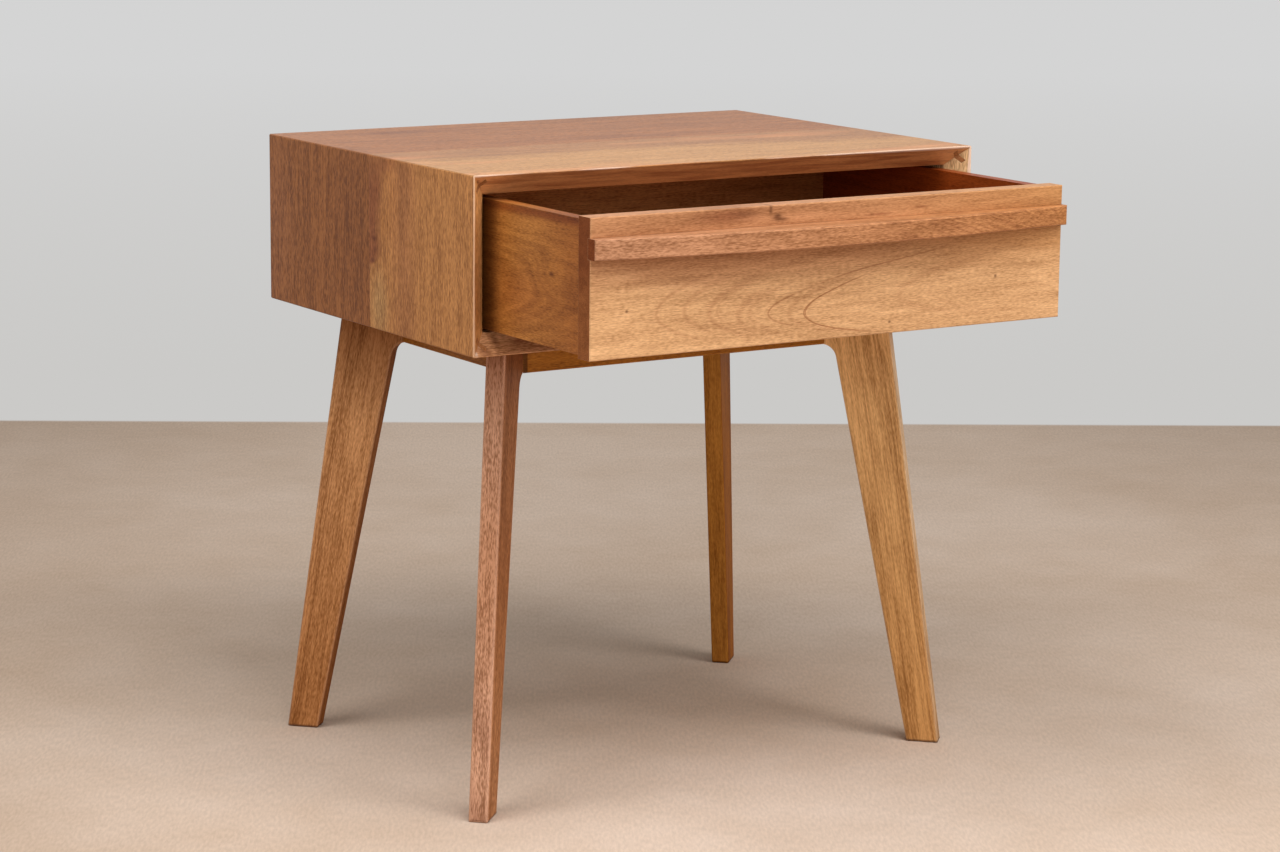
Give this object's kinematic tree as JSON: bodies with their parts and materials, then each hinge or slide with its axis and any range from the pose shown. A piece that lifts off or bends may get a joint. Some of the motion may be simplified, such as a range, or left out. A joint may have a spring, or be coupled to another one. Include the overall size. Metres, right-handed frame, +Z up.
{
  "type": "bedside table",
  "caption": "Solid hardwood bedside table: mitred case with a bevelled mouth, inset drawer with a full-width bowed pull strip, on splayed diagonal board legs.",
  "frame": {"origin": "on the floor, at the middle of the plan of the table with its drawer pulled out to the rest position", "axes": "+Z up, -Y towards the person who opens the drawer, +X to that person's right"},
  "size_m": [0.55, 0.597, 0.595],
  "materials": {
    "light_case_timber": "oiled hardwood, golden brown, satin",
    "red_case_timber": "oiled hardwood, reddish brown, satin",
    "leg_timber": "oiled hardwood, open pored, satin",
    "rail_timber": "oiled hardwood, satin",
    "drawer_front_timber": "oiled hardwood with cathedral figure, satin",
    "pull_timber": "oiled hardwood, satin",
    "drawer_side_timber": "oiled hardwood, satin",
    "drawer_inner_timber": "oiled hardwood, dark red brown",
    "spline_timber": "pale hardwood end grain and filler",
    "back_plywood": "veneered plywood, satin",
    "runner_timber": "waxed hardwood",
    "dowel_beech": "beech",
    "zinc_screw": "zinc plated steel"
  },
  "bodies": {
    "table": {"top_board_front": "light_case_timber", "top_board_rear": "red_case_timber", "bottom_board_front": "light_case_timber", "bottom_board_rear": "red_case_timber", "left_board_front": "light_case_timber", "left_board_rear": "red_case_timber", "right_board_front": "light_case_timber", "right_board_rear": "red_case_timber", "mitre_splines": "spline_timber", "back_panel": "back_plywood", "back_panel_screws": "zinc_screw", "runner_left": "runner_timber", "runner_right": "runner_timber", "drawer_stop_left": "runner_timber", "drawer_stop_right": "runner_timber", "leg_front_left": "leg_timber", "leg_front_right": "leg_timber", "leg_back_left": "leg_timber", "leg_back_right": "leg_timber", "rail_front": "rail_timber", "rail_back": "rail_timber", "rail_left": "rail_timber", "rail_right": "rail_timber", "rail_dowels": "dowel_beech", "base_screws": "zinc_screw"},
    "drawer": {"drawer_front": "drawer_front_timber", "drawer_pull": "pull_timber", "pull_screws": "zinc_screw", "drawer_front_dowels": "dowel_beech", "drawer_side_left": "drawer_side_timber", "drawer_side_right": "drawer_side_timber", "drawer_back": "drawer_inner_timber", "drawer_back_dowels": "dowel_beech", "drawer_bottom": "drawer_inner_timber", "drawer_bottom_screws": "zinc_screw"}
  },
  "joints": [
    {"name": "drawer_slide", "type": "slide", "parent": "table", "child": "drawer", "axis": [0, -1, 0], "range_m": [-0.181, 0.1]}
  ]
}
